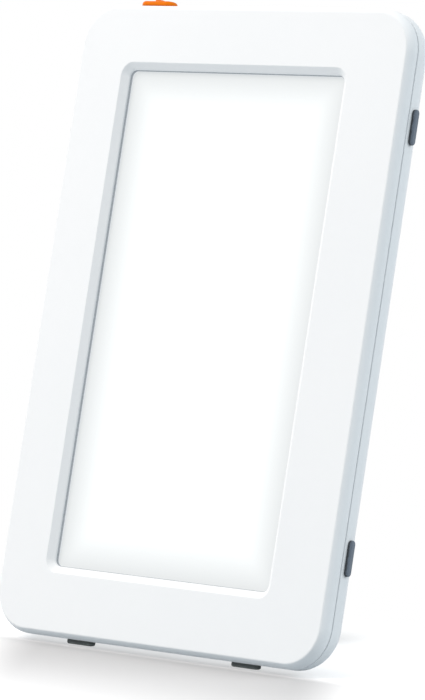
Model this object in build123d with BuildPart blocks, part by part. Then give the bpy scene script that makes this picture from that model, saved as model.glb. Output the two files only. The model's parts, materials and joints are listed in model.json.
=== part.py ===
from build123d import *
import os
from math import asin, cos, degrees, radians, sin, tan

# Tablet-shaped light therapy lamp. A light panel in a two-part casing leans back on a folding leg. The leg
# hangs on a hub that turns a quarter turn, so that the lamp stands upright on its bottom feet or sideways on
# its side feet.
#
# Frame: origin on the table under the middle of the lamp, +Z up, the lit face towards -Y, +X to the user's
# right. Places on the lamp are given as (x, y, depth): x to the right and y up from the middle of the front
# face, and depth backwards from that face.

# ---------------------------------------------------------------- driving sizes, in millimetres and degrees
lean = 13.4                  # the panel leans back by this angle

casing_width = 156.0
casing_height = 235.0
casing_depth = 18.0
corner_radius = 16.0
wall = 2.2
edge_chamfer = 1.75          # the front edge is cut back this far
edge_round = 5.0             # and rounded from there into the sides
crease_radius = 0.9          # rounding where the front face meets the cut
seam_depth = 4.75            # the front casing ends here
seam_gap = 0.4
seam_edge = 0.3              # rounding of both casings' edges at the seam
round_start = 6.9            # depth at which the sides begin to round towards the back
round_radius = 8.5
rear_slope = 50.0            # slope between the sides and the flat back

tongue_gap = 0.15
tongue_wall = 1.2
tongue_end = 5.9

border_side = 24.5           # half of what the front face has beside the window
border_end = 22.45            # and half of what it has above and below it
window_corner = 5.3
window_x = -2.0              # the window sits off centre, because the driver board lies beside it
window_y = 0.6
bevel_run = 2.6
bevel_depth = 2.3
window_edge_radius = 0.5
window_lip_radius = 0.9
rim_width = 3.0
rim_depth = 2.75

gasket_lip = 0.2             # the gasket shows this far inside the opening
panel_lap = 2.2              # overlap of the light panels behind the window
panel_corner = 2.0
diffuser_depth = 4.0
diffuser_thickness = 1.5
film_thickness = 0.3
guide_thickness = 4.0
reflector_thickness = 0.3
plate_thickness = 1.0
led_gap = 0.2
led_height = 0.8
led_length = 3.5
led_width = 2.8
led_count = 24
strip_thickness = 1.0
rail_thickness = 1.2
frame_wall = 1.5
frame_gap = 0.3

ear_radius = 3.4
ear_boss_radius = 2.4
ear_overlap = 0.4            # each ear runs this far into the back plate
ear_spots_top = (-12.0, 40.0)          # from the window's middle
ear_spots_bottom = (-38.0, 0.0, 38.0)

foot_length = 12.8
foot_width = 3.0
foot_depth = 8.0             # depth of the feet's middle line
foot_proud = 1.4
foot_pocket = 0.9
foot_edge = 0.6
bottom_foot_x = 39.4
side_foot_y = 76.4

screw_inset = 9.0            # a screw halfway up a side, from the casing's edge
corner_inset_x = 10.0
corner_inset_y = 10.5
right_screw_y = 38.0
case_seat_depth = 11.0
case_joint_depth = 8.0       # the front bosses end here
case_joint_gap = 0.1         # and the rear columns begin this much behind them
boss_radius = 3.2
column_radius = 4.2

button_inset = 28.0          # the button's middle, from the casing's left edge
button_depth = 9.4
button_length = 15.4
button_width = 6.0
button_proud = 2.7
button_gap = 0.25
button_travel = 0.5
button_dot_radius = 1.9
button_dot_height = 0.6
button_sink = 8.0            # its underside, from the casing's top edge
button_plate = 1.2
button_edge = 1.2
button_dot_edge = 0.4
button_post_radius = 2.2
button_wing = 2.2
wing_width = 4.0
wing_gap = 0.15
catch_extra = 0.8            # the blocks over the wings are this much wider and longer than they

switch_board_length = 30.0
switch_board_width = 8.4
switch_board_sink = 16.2     # the board's underside, from the casing's top edge
switch_board_thickness = 1.0
switch_size = 6.0
switch_height = 3.5
switch_stem_radius = 1.7
switch_stem_sink = 10.3      # the stem's top, from the casing's top edge
switch_block_x = 12.4        # from the button's middle
switch_block_size = 4.6
switch_block_height = 4.0
switch_bore = 1.4
switch_rest_gap = 0.1        # left under the stem when the button is fully pressed

driver_inset = 14.0          # the board's middle, from the casing's right edge
driver_y = -30.0
driver_width = 14.0
driver_length = 100.0
driver_depth = 6.0
driver_thickness = 1.2
driver_post_y = (-44.0, 4.0, 46.0)     # from the board's middle
driver_post_radius = 2.2

choke_spot = (-1.5, 14.0)              # this and the next places are from the board's middle
choke_radius = 3.6
choke_winding_radius = 3.2
choke_height = 4.5
choke_flange = 0.8
capacitor_spots = ((-2.0, -6.0), (-2.0, 25.0))
capacitor_radius = 3.15
capacitor_height = 6.0
capacitor_edge = 0.5
chip_spots = ((0.0, -36.0), (0.0, 34.0))
chip_width = 4.0
chip_length = 5.0
chip_height = 1.5

jack_spot = (-3.0, -22.0)
jack_size = 9.0
jack_depth = 14.8
jack_nose_radius = 3.9
jack_nose_end = 15.2
jack_bore_radius = 2.85
jack_bore_length = 7.6
jack_pin_radius = 1.0
jack_pin_set_back = 0.6
inlet_radius = 4.5

hub_radius = 44.0
hub_gap = 0.4
hub_floor_depth = 16.0       # floor of the round well in the back
hub_clearance = 0.3
hub_rear_depth = 20.6
hub_edge = 1.4
boss_hub_radius = 12.0
running_gap = 0.06
washer_thickness = 0.4
washer_radius = 17.0
ring_gap = 0.1
ring_thickness = 1.4
ring_radius = 17.0
ring_hole_radius = 3.5
hub_screw_circle = 8.0
stop_tab_length = 3.0
stop_tab_width = 5.0
stop_block_width = 3.4
stop_tab_gap = 0.6
stop_spare_angle = 0.5
stop_rest_angle = 135.0
turn_range = 90.0

pin_depth = 20.8
pin_radius = 1.5
pin_set_in = 0.2             # the pin ends this far inside its knuckles
hinge_rise = 34.0            # the hinge lies this far above the hub's middle
open_angle = 28.7            # the open leg's angle from the lamp's back
leg_width = 30.0
leg_inner = 2.2              # from the pin's axis to the leg's inner and outer faces
leg_outer = 2.3
leg_side_gap = 0.5
leg_skin = 1.6
leg_wall = 2.0
leg_rib = 1.2
leg_rib_count = 4
leg_barrel = 2.5
leg_slot_depth = 18.0
leg_slot_rise = 4.2          # the slot reaches this far above the pin
heel_height = 2.2
heel_width = 20.0
heel_gap = 0.1
knuckle_width = 5.2
knuckle_radius = 3.2
pad_length = 8.0
pad_corner = 4.0
pad_tongue_length = 5.0
pad_tongue_width = 20.0
pad_tongue_thickness = 1.8
pad_tongue_gap = 0.05

lead_diameter = 1.2
lead_depth = 9.0             # the internal leads all lie at this depth
connector_spots = ((4.8, -36.0), (4.8, 36.0))
connector_width = 3.6
connector_length = 6.0
connector_height = 3.5
lead_run = 7.0
lead_bend = 8.5
lead_pass = 2.0              # how far the leads lie from the ears that they pass
channel_inset = 6.0          # the channel for the switch lead, from the light frame
lead_ease = 0.05             # an LED lead passes its rail by this much
led_lead_offset = 0.9        # the two LED leads enter their connector this far from its middle
notch_width = 2.0            # way through the light frame for an LED lead
hinge_washer_radius = 2.4
hinge_washer_thickness = 0.3

case_shank_radius = 1.25
case_head_radius = 2.6
case_head_height = 1.8
small_shank_radius = 0.95
small_head_radius = 1.9
small_head_height = 1.3
plate_screw_length = 5.0
board_screw_length = 4.2
hub_screw_length = 4.0
screw_tip_gap = 0.5
recess_span = 1.2            # of the head's radius
recess_slot = 0.25           # of the head's radius
recess_depth = 0.4           # of the head's height
hole_ease = 0.02             # a screw's thread is left out, so its hole is this much wider
pass_gap = 0.2               # around a shank that passes through
sink_gap = 0.1               # around a countersunk head
head_gap = 0.3               # around a sunk head

# ---------------------------------------------------------------- worked out from the sizes above
seam_end = seam_depth + seam_gap
bend_depth = round_start + round_radius * tan(radians(rear_slope / 2))
window_width = casing_width - 2 * border_side
window_height = casing_height - 2 * border_end
opening_width = window_width - 2 * bevel_run
opening_height = window_height - 2 * bevel_run
opening_corner = window_corner - bevel_run
panel_width = opening_width + 2 * panel_lap
panel_height = opening_height + 2 * panel_lap
film_depth = diffuser_depth + diffuser_thickness
guide_depth = film_depth + film_thickness
reflector_depth = guide_depth + guide_thickness
plate_depth = reflector_depth + reflector_thickness
plate_end = plate_depth + plate_thickness
strip_inner = panel_width / 2 + led_gap + led_height
rail_inner = strip_inner + strip_thickness
rail_outer = rail_inner + rail_thickness
strip_middle = strip_inner + strip_thickness / 2
strip_length = panel_height
led_pitch = strip_length / led_count
led_lead_start = rail_inner - lead_ease - lead_diameter / 2
frame_half_width = rail_outer + frame_wall
frame_half_height = panel_height / 2 + frame_gap + frame_wall
ear_rise = frame_half_height + ear_radius - ear_overlap

button_x = button_inset - casing_width / 2
button_bottom = casing_height / 2 - button_sink
switch_board_y = casing_height / 2 - switch_board_sink
switch_stem_top = casing_height / 2 - switch_stem_sink
driver_x = casing_width / 2 - driver_inset
jack_x = driver_x + jack_spot[0]
jack_y = driver_y + jack_spot[1]

side_reach = casing_width / 2 + foot_proud
bottom_reach = casing_height / 2 + foot_proud
hub_y = side_reach - bottom_reach      # as far from the bottom feet as from the side feet
pin_y = hub_y + hinge_rise
leg_splay = open_angle - lean          # the open leg's angle from upright

lean_sin = sin(radians(lean))
lean_cos = cos(radians(lean))
face_height = bottom_reach * lean_cos + foot_depth * lean_sin
pin_height = face_height + pin_y * lean_cos - pin_depth * lean_sin
leg_length = pin_height / cos(radians(leg_splay))
face_half_height = casing_height / 2 - edge_chamfer - crease_radius * tan(radians(22.5))
front_reach = -face_half_height * lean_sin - crease_radius * (1 - lean_cos)
rear_reach = (
    pin_depth * lean_cos
    + pin_y * lean_sin
    + (pin_height + leg_outer * sin(radians(leg_splay))) * tan(radians(leg_splay))
    + leg_outer * cos(radians(leg_splay))
)


# ---------------------------------------------------------------- planes and directions
def leaning_plane(origin, angle):
    """A plane that faces the user and leans back by an angle. Its X is +X and its Y runs up the piece."""
    return Plane(origin=origin, x_dir=(1, 0, 0), z_dir=(0, -cos(radians(angle)), sin(radians(angle))))


face = leaning_plane((-foot_proud / 2, -(front_reach + rear_reach) / 2, face_height), lean)
OUT = Axis(face.origin, face.z_dir)
UP = Axis(face.origin, face.y_dir)
ACROSS = Axis(face.origin, face.x_dir)


def at(x, y, depth):
    """The point at x and y on the lamp's face, and at a depth behind it."""
    return face.from_local_coords((x, y, -depth))


def at_depth(depth):
    """The plane behind the front face whose sketch coordinates are the lamp's x and y."""
    return face.offset(-depth)


def at_height(y):
    """The plane across the lamp at the height y, whose sketch coordinates are x and depth."""
    return Plane(origin=at(0, y, 0), x_dir=(1, 0, 0), z_dir=face.y_dir)


def at_side(x):
    """The upright plane through the lamp at x, whose sketch coordinates are depth and y."""
    return Plane(origin=at(x, 0, 0), x_dir=-face.z_dir, z_dir=(1, 0, 0))


leg_plane = leaning_plane(at(0, pin_y, pin_depth), lean - open_angle)
table = Plane.XY
sideways_table = Plane(
    origin=at(side_reach, 0, foot_depth),
    z_dir=-(face.x_dir * lean_cos - face.z_dir * lean_sin),
)

os.makedirs("parts", exist_ok=True)


def keep(piece, name):
    """Name a finished piece and write its file."""
    piece.part.label = name
    export_step(piece.part, f"parts/{name}.step")


def edges_at_depth(piece, depth):
    """The edges whose middles lie at a depth behind the front face."""
    return piece.edges().filter_by_position(OUT, -depth - 0.01, -depth + 0.01)


def pan_screws(spots, plane_at, seat, heads, head_radius, head_height, shank_radius, shank_length):
    """Cross-recess screws. Heads is 1 where they stand along the plane's normal, and -1 where against it."""
    with BuildPart() as screws:
        with BuildSketch(plane_at(seat)):
            with Locations(*spots):
                Circle(head_radius)
        extrude(amount=heads * head_height)
        with BuildSketch(plane_at(seat)):
            with Locations(*spots):
                Circle(shank_radius)
        extrude(amount=-heads * shank_length)
        with BuildSketch(plane_at(seat + head_height)):
            with Locations(*spots):
                Rectangle(recess_span * head_radius, recess_slot * head_radius)
                Rectangle(recess_slot * head_radius, recess_span * head_radius)
        extrude(amount=-heads * recess_depth * head_height, mode=Mode.SUBTRACT)
    return screws


# ---------------------------------------------------------------- casing forms
def casing_form(inset, front):
    """The casing's outer form taken in by an inset all over, from a depth to the back."""
    bend = bend_depth - inset * tan(radians(rear_slope / 2))
    back = casing_depth - inset
    with BuildPart() as form:
        with BuildSketch(at_depth(front)):
            RectangleRounded(casing_width - 2 * inset, casing_height - 2 * inset, corner_radius - inset)
        extrude(amount=-(back - front))
        rear_face = form.faces().sort_by(OUT)[0]
        run = (back - bend) * tan(radians(rear_slope))
        chamfer(rear_face.edges(), length=run, length2=back - bend, reference=rear_face)
        fillet(edges_at_depth(form, bend), radius=round_radius - inset)
    return form.part


outer_form = casing_form(0, seam_end)
inner_form = casing_form(wall, seam_end - seam_gap)

screw_x = casing_width / 2 - screw_inset
corner_screw_x = casing_width / 2 - corner_inset_x
corner_screw_y = casing_height / 2 - corner_inset_y
corner_screws = [(sx * corner_screw_x, sy * corner_screw_y) for sx in (-1, 1) for sy in (-1, 1)]
case_screw_spots = corner_screws + [(-screw_x, 0), (screw_x, right_screw_y)]

ear_spots = [(window_x + x, window_y + ear_rise) for x in ear_spots_top]
ear_spots += [(window_x + x, window_y - ear_rise) for x in ear_spots_bottom]
driver_posts = [(driver_x, driver_y + y) for y in driver_post_y]
switch_blocks = [(button_x + side * switch_block_x, button_depth) for side in (-1, 1)]

# ---------------------------------------------------------------- front casing
with BuildPart() as front_casing:
    with BuildSketch(at_depth(0)):
        RectangleRounded(casing_width, casing_height, corner_radius)
    extrude(amount=-seam_depth)
    fillet(edges_at_depth(front_casing, seam_depth), radius=seam_edge)
    chamfer(edges_at_depth(front_casing, 0), length=edge_chamfer)
    fillet(edges_at_depth(front_casing, edge_chamfer), radius=edge_round)
    fillet(edges_at_depth(front_casing, 0), radius=crease_radius)
    with BuildSketch(at_depth(wall)):
        RectangleRounded(casing_width - 2 * wall, casing_height - 2 * wall, corner_radius - wall)
    extrude(amount=-(seam_depth - wall), mode=Mode.SUBTRACT)
    # the tongue that centres the rear casing
    tongue_inset = wall + tongue_gap
    with BuildSketch(at_depth(wall)):
        RectangleRounded(
            casing_width - 2 * tongue_inset, casing_height - 2 * tongue_inset, corner_radius - tongue_inset
        )
        offset(amount=-tongue_wall, mode=Mode.SUBTRACT)
    extrude(amount=-(tongue_end - wall))
    # the rim that the window gasket lies on
    with BuildSketch(at_depth(wall)):
        with Locations((window_x, window_y)):
            RectangleRounded(opening_width + 2 * rim_width, opening_height + 2 * rim_width, window_corner)
    extrude(amount=-(rim_depth - wall))
    # bosses for the case screws and the light unit, posts for the driver board
    with BuildSketch(at_depth(wall)):
        with Locations(*case_screw_spots):
            Circle(boss_radius)
    extrude(amount=-(case_joint_depth - wall))
    with BuildSketch(at_depth(wall)):
        with Locations(*ear_spots):
            Circle(ear_boss_radius)
    extrude(amount=-(plate_depth - wall))
    with BuildSketch(at_depth(wall)):
        with Locations(*driver_posts):
            Circle(driver_post_radius)
    extrude(amount=-(driver_depth - wall))
    # two blocks that carry the switch board
    with BuildSketch(at_depth(wall)):
        with Locations(*[(x, switch_board_y - switch_block_height / 2) for x, depth in switch_blocks]):
            Rectangle(switch_block_size, switch_block_height)
    extrude(amount=-(button_depth + switch_board_width / 2 - wall))
    # the window, with its bevel
    with BuildSketch(at_depth(0)):
        with Locations((window_x, window_y)):
            RectangleRounded(window_width, window_height, window_corner)
    with BuildSketch(at_depth(bevel_depth)):
        with Locations((window_x, window_y)):
            RectangleRounded(opening_width, opening_height, opening_corner)
    loft(mode=Mode.SUBTRACT)
    with BuildSketch(at_depth(bevel_depth)):
        with Locations((window_x, window_y)):
            RectangleRounded(opening_width, opening_height, opening_corner)
    extrude(amount=-(rim_depth - bevel_depth), mode=Mode.SUBTRACT)
    fillet(edges_at_depth(front_casing, bevel_depth), radius=window_lip_radius)
    window_edges = front_casing.faces().sort_by(OUT)[-1].inner_wires()[0].edges()
    fillet(window_edges, radius=window_edge_radius)
    # screw holes
    with BuildSketch(at_depth(case_joint_depth)):
        with Locations(*case_screw_spots):
            Circle(case_shank_radius + hole_ease)
    extrude(amount=case_joint_depth - wall, mode=Mode.SUBTRACT)
    with BuildSketch(at_depth(plate_depth)):
        with Locations(*ear_spots):
            Circle(small_shank_radius + hole_ease)
    extrude(amount=plate_depth - wall, mode=Mode.SUBTRACT)
    with BuildSketch(at_depth(driver_depth)):
        with Locations(*driver_posts):
            Circle(small_shank_radius + hole_ease)
    extrude(amount=driver_depth - wall, mode=Mode.SUBTRACT)
    with BuildSketch(at_height(switch_board_y)):
        with Locations(*switch_blocks):
            Circle(small_shank_radius + hole_ease)
    extrude(amount=-switch_block_height, mode=Mode.SUBTRACT)
keep(front_casing, "front_casing")

# ---------------------------------------------------------------- rear casing
with BuildPart() as rear_supports:
    # columns over the front bosses
    with BuildSketch(at_depth(case_joint_depth + case_joint_gap)):
        with Locations(*case_screw_spots):
            Circle(column_radius)
    extrude(amount=-(casing_depth - case_joint_depth))
    # blocks beside the button's slot, under which its wings catch
    catch_y = button_bottom + wing_gap
    catch_x = button_length / 2 + button_gap + button_wing / 2
    with BuildSketch(at_height(catch_y)):
        with Locations((button_x - catch_x, button_depth), (button_x + catch_x, button_depth)):
            Rectangle(button_wing + catch_extra, wing_width + catch_extra)
    extrude(amount=casing_height / 2 - catch_y)
    add(outer_form, mode=Mode.INTERSECT)

with BuildPart() as rear_casing:
    add(outer_form)
    fillet(edges_at_depth(rear_casing, seam_end), radius=seam_edge)
    add(inner_form, mode=Mode.SUBTRACT)
    add(rear_supports.part)
    # round well for the stand's hub
    with BuildSketch(at_depth(hub_floor_depth - wall)):
        with Locations((0, hub_y)):
            Circle(hub_radius + hub_gap + wall)
    extrude(amount=-(casing_depth - hub_floor_depth + wall))
    with BuildSketch(at_depth(hub_floor_depth)):
        with Locations((0, hub_y)):
            Circle(hub_radius + hub_gap)
    extrude(amount=-(casing_depth - hub_floor_depth), mode=Mode.SUBTRACT)
    with BuildSketch(at_depth(casing_depth)):
        with Locations((0, hub_y)):
            Circle(boss_hub_radius + running_gap)
    extrude(amount=casing_depth, mode=Mode.SUBTRACT)
    # stops for the hub's quarter turn
    stop_inner = ring_radius + stop_tab_gap
    stop_swing = degrees(asin(stop_tab_width / 2 / stop_inner) + asin(stop_block_width / 2 / stop_inner))
    stop_swing += stop_spare_angle
    stop_angles = (stop_rest_angle - stop_swing, stop_rest_angle + turn_range + stop_swing)
    with BuildSketch(at_depth(hub_floor_depth - wall)):
        for angle in stop_angles:
            with Locations(Location((0, hub_y), angle)):
                with Locations((stop_inner + stop_tab_length / 2, 0)):
                    Rectangle(stop_tab_length, stop_block_width)
    extrude(amount=washer_thickness + ring_gap + ring_thickness)
    # screw holes with sunk heads
    with BuildSketch(at_depth(case_seat_depth)):
        with Locations(*case_screw_spots):
            Circle(case_head_radius + head_gap)
    extrude(amount=-(casing_depth - case_seat_depth), mode=Mode.SUBTRACT)
    with BuildSketch(at_depth(case_seat_depth)):
        with Locations(*case_screw_spots):
            Circle(case_shank_radius + pass_gap)
    extrude(amount=case_seat_depth - case_joint_depth, mode=Mode.SUBTRACT)
    # button slot, power inlet and foot pockets
    with BuildSketch(at_height(casing_height / 2)):
        with Locations((button_x, button_depth)):
            SlotOverall(button_length + 2 * button_gap, button_width + 2 * button_gap)
    extrude(amount=-2 * (casing_height / 2 - button_bottom), mode=Mode.SUBTRACT)
    with BuildSketch(at_depth(casing_depth)):
        with Locations((jack_x, jack_y)):
            Circle(inlet_radius)
    extrude(amount=wall, mode=Mode.SUBTRACT)
    with BuildSketch(at_height(-casing_height / 2)):
        with Locations((-bottom_foot_x, foot_depth), (bottom_foot_x, foot_depth)):
            SlotOverall(foot_length, foot_width)
    extrude(amount=foot_pocket, mode=Mode.SUBTRACT)
    with BuildSketch(at_side(casing_width / 2)):
        with Locations((foot_depth, -side_foot_y), (foot_depth, side_foot_y)):
            SlotOverall(foot_length, foot_width, rotation=90)
    extrude(amount=-foot_pocket, mode=Mode.SUBTRACT)
keep(rear_casing, "rear_casing")

# ---------------------------------------------------------------- rubber feet
with BuildPart() as bottom_foot:
    with BuildSketch(at_height(-casing_height / 2 + foot_pocket)):
        with Locations((-bottom_foot_x, foot_depth), (bottom_foot_x, foot_depth)):
            SlotOverall(foot_length, foot_width)
    extrude(amount=-(foot_pocket + 2 * foot_proud))
    split(bisect_by=table, keep=Keep.TOP)
    fillet(bottom_foot.faces().filter_by(Axis.Z).group_by(Axis.Z)[0].edges(), radius=foot_edge)

with BuildPart() as side_foot:
    with BuildSketch(at_side(casing_width / 2 - foot_pocket)):
        with Locations((foot_depth, -side_foot_y), (foot_depth, side_foot_y)):
            SlotOverall(foot_length, foot_width, rotation=90)
    extrude(amount=foot_pocket + 2 * foot_proud)
    split(bisect_by=sideways_table, keep=Keep.TOP)
    fillet(side_foot.faces().filter_by(sideways_table).edges(), radius=foot_edge)

for feet, direction, names in (
    (bottom_foot, ACROSS, ("bottom_foot_left", "bottom_foot_right")),
    (side_foot, UP, ("side_foot_lower", "side_foot_upper")),
):
    for foot_solid, name in zip(feet.solids().sort_by(direction), names):
        with BuildPart() as foot:
            add(foot_solid)
        keep(foot, name)

# ---------------------------------------------------------------- light unit, from front to back
with BuildPart() as window_gasket:
    with BuildSketch(at_depth(rim_depth)):
        with Locations((window_x, window_y)):
            RectangleRounded(panel_width, panel_height, panel_corner)
            RectangleRounded(
                opening_width - 2 * gasket_lip,
                opening_height - 2 * gasket_lip,
                opening_corner - gasket_lip,
                mode=Mode.SUBTRACT,
            )
    extrude(amount=-(diffuser_depth - rim_depth))
keep(window_gasket, "window_gasket")

light_sheets = (
    ("diffuser_panel", diffuser_depth, diffuser_thickness),
    ("diffuser_film", film_depth, film_thickness),
    ("light_guide", guide_depth, guide_thickness),
    ("reflector_sheet", reflector_depth, reflector_thickness),
)
for name, sheet_depth, thickness in light_sheets:
    with BuildPart() as sheet:
        with BuildSketch(at_depth(sheet_depth)):
            with Locations((window_x, window_y)):
                RectangleRounded(panel_width, panel_height, panel_corner)
        extrude(amount=-thickness)
    keep(sheet, name)

with BuildPart() as light_frame:
    with BuildSketch(at_depth(diffuser_depth)):
        with Locations((window_x, window_y)):
            RectangleRounded(2 * frame_half_width, 2 * frame_half_height, panel_corner + frame_wall)
            Rectangle(2 * rail_outer, 2 * (frame_half_height - frame_wall), mode=Mode.SUBTRACT)
    extrude(amount=-(plate_depth - diffuser_depth))
    # a notch for each LED lead
    with BuildSketch(at_depth(plate_depth)):
        with Locations((window_x, window_y - frame_half_height)):
            with GridLocations(2 * led_lead_start, 1, 2, 1):
                Rectangle(notch_width, 3 * frame_wall)
    extrude(amount=plate_depth - lead_depth + notch_width / 2, mode=Mode.SUBTRACT)
keep(light_frame, "light_frame")

rail_length = 2 * (frame_half_height - frame_wall)
guide_middle = guide_depth + guide_thickness / 2
strip_width = plate_depth - film_depth
for side, name in ((-1, "left"), (1, "right")):
    with BuildPart() as led_rail:
        # an angle that stands on the light frame's wall and turns in under the gasket's line
        with BuildSketch(at_depth(diffuser_depth)):
            with Locations((window_x + side * (rail_inner + rail_thickness / 2), window_y)):
                Rectangle(rail_thickness, rail_length)
        extrude(amount=-(plate_depth - diffuser_depth))
        with BuildSketch(at_depth(diffuser_depth)):
            with Locations((window_x + side * (rail_outer + panel_width / 2 + led_gap) / 2, window_y)):
                Rectangle(rail_outer - panel_width / 2 - led_gap, rail_length)
        extrude(amount=-(film_depth - diffuser_depth))
    keep(led_rail, f"led_rail_{name}")

    with BuildPart() as led_strip:
        with BuildSketch(at_depth(film_depth)):
            with Locations((window_x + side * strip_middle, window_y)):
                Rectangle(strip_thickness, strip_length)
        extrude(amount=-strip_width)
    keep(led_strip, f"led_strip_{name}")

    with BuildPart() as leds:
        with BuildSketch(at_depth(guide_middle - led_width / 2)):
            with Locations((window_x + side * (strip_inner - led_height / 2), window_y)):
                with GridLocations(1, led_pitch, 1, led_count):
                    Rectangle(led_height, led_length)
        extrude(amount=-led_width)
    keep(leds, f"leds_{name}")

with BuildPart() as back_plate:
    with BuildSketch(at_depth(plate_depth)):
        with Locations((window_x, window_y)):
            RectangleRounded(2 * frame_half_width, 2 * frame_half_height, panel_corner + frame_wall)
        with Locations(*ear_spots):
            Circle(ear_radius)
        with Locations(*ear_spots):
            Circle(small_shank_radius + pass_gap, mode=Mode.SUBTRACT)
    extrude(amount=-plate_thickness)
keep(back_plate, "back_plate")

# ---------------------------------------------------------------- driver board and what is on it
with BuildPart() as driver_board:
    with BuildSketch(at_depth(driver_depth)):
        with Locations((driver_x, driver_y)):
            Rectangle(driver_width, driver_length)
        with Locations(*driver_posts):
            Circle(small_shank_radius + pass_gap, mode=Mode.SUBTRACT)
    extrude(amount=-driver_thickness)
keep(driver_board, "driver_board")

board_top = driver_depth + driver_thickness
with BuildPart() as dc_jack:
    with BuildSketch(at_depth(board_top)):
        with Locations((jack_x, jack_y)):
            Rectangle(jack_size, jack_size)
    extrude(amount=-(jack_depth - board_top))
    with BuildSketch(at_depth(jack_depth)):
        with Locations((jack_x, jack_y)):
            Circle(jack_nose_radius)
    extrude(amount=-(jack_nose_end - jack_depth))
    with BuildSketch(at_depth(jack_nose_end)):
        with Locations((jack_x, jack_y)):
            Circle(jack_bore_radius)
    extrude(amount=jack_bore_length, mode=Mode.SUBTRACT)
    with BuildSketch(at_depth(jack_nose_end - jack_pin_set_back)):
        with Locations((jack_x, jack_y)):
            Circle(jack_pin_radius)
    extrude(amount=jack_bore_length - jack_pin_set_back)
keep(dc_jack, "dc_jack")

board_back = Plane(origin=at(driver_x, driver_y, board_top), x_dir=(1, 0, 0), z_dir=face.z_dir)
with BuildPart() as driver_choke:
    # a drum core: two flanges with the winding between them
    with BuildSketch(board_back):
        with Locations(choke_spot):
            Circle(choke_winding_radius)
    extrude(amount=-choke_height)
    for flange_height in (0, choke_height - choke_flange):
        with BuildSketch(board_back.offset(-flange_height)):
            with Locations(choke_spot):
                Circle(choke_radius)
        extrude(amount=-choke_flange)
keep(driver_choke, "driver_choke")

with BuildPart() as driver_capacitors:
    with BuildSketch(board_back):
        with Locations(*capacitor_spots):
            Circle(capacitor_radius)
    extrude(amount=-capacitor_height)
    fillet(driver_capacitors.edges().group_by(OUT)[0], radius=capacitor_edge)
keep(driver_capacitors, "driver_capacitors")

with BuildPart() as driver_chips:
    with BuildSketch(board_back):
        with Locations(*chip_spots):
            Rectangle(chip_width, chip_length)
    extrude(amount=-chip_height)
keep(driver_chips, "driver_chips")

with BuildPart() as lead_connectors:
    with BuildSketch(board_back):
        with Locations(*connector_spots):
            Rectangle(connector_width, connector_length)
    extrude(amount=-connector_height)
keep(lead_connectors, "lead_connectors")

# ---------------------------------------------------------------- switch board, push switch and button
with BuildPart() as switch_board:
    with BuildSketch(at_height(switch_board_y)):
        with Locations((button_x, button_depth)):
            Rectangle(switch_board_length, switch_board_width)
        with Locations(*switch_blocks):
            Circle(small_shank_radius + pass_gap, mode=Mode.SUBTRACT)
    extrude(amount=switch_board_thickness)
keep(switch_board, "switch_board")

switch_base = switch_board_y + switch_board_thickness
with BuildPart() as push_switch:
    with BuildSketch(at_height(switch_base)):
        with Locations((button_x, button_depth)):
            Rectangle(switch_size, switch_size)
    extrude(amount=switch_height)
    with BuildSketch(at_height(switch_base + switch_height)):
        with Locations((button_x, button_depth)):
            Circle(switch_stem_radius + running_gap)
    extrude(amount=-switch_bore, mode=Mode.SUBTRACT)
keep(push_switch, "push_switch")

with BuildPart() as switch_stem:
    stem_foot = switch_base + switch_height - switch_bore + button_travel + switch_rest_gap
    with BuildSketch(at_height(stem_foot)):
        with Locations((button_x, button_depth)):
            Circle(switch_stem_radius)
    extrude(amount=switch_stem_top - stem_foot)
keep(switch_stem, "switch_stem")

button_top = casing_height / 2 + button_proud
with BuildPart() as power_button:
    with BuildSketch(at_height(button_bottom)):
        with Locations((button_x, button_depth)):
            SlotOverall(button_length, button_width)
    extrude(amount=button_top - button_bottom)
    fillet(power_button.edges().group_by(UP)[-1], radius=button_edge)
    with BuildSketch(at_height(button_top)):
        with Locations((button_x, button_depth)):
            Circle(button_dot_radius)
    extrude(amount=button_dot_height)
    fillet(power_button.edges().group_by(UP)[-1], radius=button_dot_edge)
    # wings that keep it in, and the post that presses the switch
    with BuildSketch(at_height(button_bottom - button_plate)):
        with Locations((button_x, button_depth)):
            Rectangle(button_length + 2 * button_wing, wing_width)
    extrude(amount=button_plate)
    with BuildSketch(at_height(switch_stem_top)):
        with Locations((button_x, button_depth)):
            Circle(button_post_radius)
    extrude(amount=button_bottom - switch_stem_top)
keep(power_button, "power_button")

# ---------------------------------------------------------------- internal leads
def lead(points, radii):
    """A round lead through points on the lamp, at the leads' common depth, with an arc at each corner."""
    with BuildPart() as piece:
        with BuildLine(at_depth(lead_depth)) as route:
            FilletPolyline(*points, radius=radii)
        with BuildSketch(Plane(origin=route.line @ 0, z_dir=route.line % 0)):
            Circle(lead_diameter / 2)
        sweep()
    return piece


connector_x = driver_x + connector_spots[0][0]
led_plug_y = driver_y + connector_spots[0][1] - connector_length / 2
switch_plug_y = driver_y + connector_spots[1][1] + connector_length / 2
strip_end_y = window_y - strip_length / 2
ear_top = window_y + ear_rise + ear_radius
ear_bottom = window_y - ear_rise - ear_radius
channel_x = window_x + frame_half_width + channel_inset
switch_lead_x = button_x + switch_board_length / 2
switch_lead_y = switch_board_y + switch_board_thickness / 2

switch_lead = lead(
    [
        (switch_lead_x, switch_lead_y),
        (switch_lead_x + lead_run, switch_lead_y),
        (switch_lead_x + 2 * lead_run, ear_top + lead_pass),
        (channel_x, ear_top + 1.5 * lead_pass),
        (channel_x, switch_plug_y + 4 * lead_run),
        (connector_x, switch_plug_y + 2 * lead_run),
        (connector_x, switch_plug_y),
    ],
    [lead_bend, 1.5 * lead_bend, 1.5 * lead_bend, 2 * lead_bend, 1.5 * lead_bend],
)
keep(switch_lead, "switch_lead")

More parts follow.
